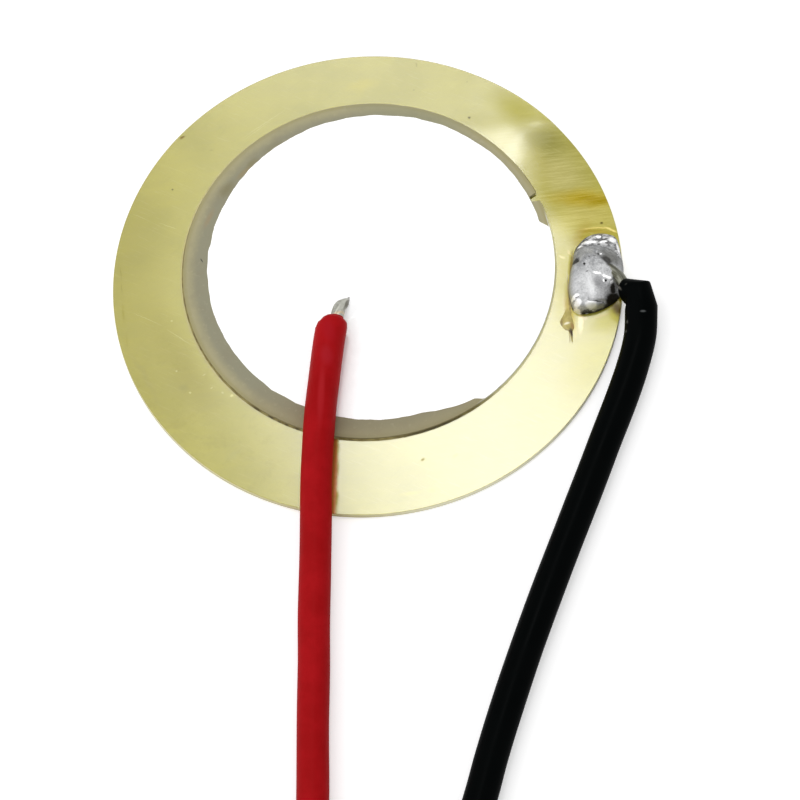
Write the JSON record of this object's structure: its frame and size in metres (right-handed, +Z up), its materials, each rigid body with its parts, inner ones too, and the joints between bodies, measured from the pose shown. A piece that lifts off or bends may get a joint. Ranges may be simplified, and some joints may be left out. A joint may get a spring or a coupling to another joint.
{
  "type": "piezo disc",
  "caption": "Round brass diaphragm with a silvered piezo ceramic bonded on top and soldered red and black leads, for sounders and contact pickups.",
  "frame": {"origin": "centre of the brass plate's underside", "axes": "+Z up out of the silvered side, +X towards the soldered rim joint of the black lead, -Y the way both leads run off"},
  "size_m": [0.0442, 0.0676, 0.0023],
  "materials": {
    "brass": "rolled sheet, pale yellow, fine lines, heat stain by the joint",
    "adhesive": "thin brown epoxy film with a bead round the edge",
    "fired_silver": "matt white fired silver print",
    "piezo_ceramic": "matt grey-beige, lapped",
    "solder": "lumpy tin solder with pits and bright facets",
    "flux": "clear amber rosin",
    "tinned_copper": "tinned strands, dull",
    "red_insulation": "satin PVC",
    "black_insulation": "glossy PVC"
  },
  "bodies": {
    "root": {"brass_plate": "brass", "adhesive": "adhesive", "lower_electrode": "fired_silver", "ceramic_disc": "piezo_ceramic", "upper_electrode": "fired_silver", "rim_solder_joint": "solder", "flux_residue": "flux", "centre_solder_joint": "solder", "red_conductor": "tinned_copper", "red_lead": "red_insulation", "red_lead_coil": "red_insulation", "red_stripped_end": "tinned_copper", "black_conductor": "tinned_copper", "black_lead": "black_insulation", "black_lead_coil": "black_insulation", "black_stripped_end": "tinned_copper"}
  },
  "joints": []
}
